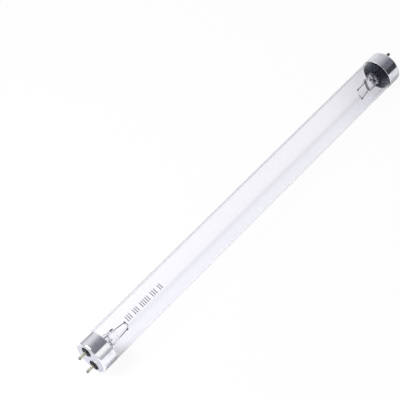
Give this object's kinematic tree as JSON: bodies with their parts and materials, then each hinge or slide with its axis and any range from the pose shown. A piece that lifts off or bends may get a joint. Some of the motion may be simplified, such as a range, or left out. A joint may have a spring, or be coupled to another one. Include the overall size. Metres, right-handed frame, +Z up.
{
  "type": "germicidal uv tube",
  "caption": "Straight clear glass discharge lamp with an aluminium two-pin cap at each end; stems, leads and coiled filaments show through the glass.",
  "frame": {"origin": "middle of the lamp, on its axis", "axes": "+X along the lamp from the left cap to the right cap, +Z up, the pins' plane leaning 10 degrees from upright towards +Y"},
  "size_m": [0.3442, 0.0258, 0.0258],
  "materials": {
    "clear_glass": "clear drawn tube glass",
    "stem_glass": "fire-polished clear glass, pressed flat at its inner end",
    "cap_aluminium": "bright drawn sheet",
    "insulator_black": "black moulded phenolic",
    "pin_brass": "plated brass, pale and slightly dull",
    "basing_cement": "cured dark basing cement",
    "lead_nickel": "drawn nickel-plated wire",
    "filament_tungsten": "coiled wire with a pale emitter coating",
    "mercury": "liquid metal"
  },
  "bodies": {
    "root": {"glass_tube": "clear_glass", "mercury_bead": "mercury", "left_cap_shell": "cap_aluminium", "left_insulator": "insulator_black", "left_upper_pin": "pin_brass", "left_lower_pin": "pin_brass", "left_cap_cement": "basing_cement", "left_stem": "stem_glass", "left_upper_lead": "lead_nickel", "left_lower_lead": "lead_nickel", "left_filament": "filament_tungsten", "right_cap_shell": "cap_aluminium", "right_insulator": "insulator_black", "right_upper_pin": "pin_brass", "right_lower_pin": "pin_brass", "right_cap_cement": "basing_cement", "right_stem": "stem_glass", "right_upper_lead": "lead_nickel", "right_lower_lead": "lead_nickel", "right_filament": "filament_tungsten"}
  },
  "joints": []
}
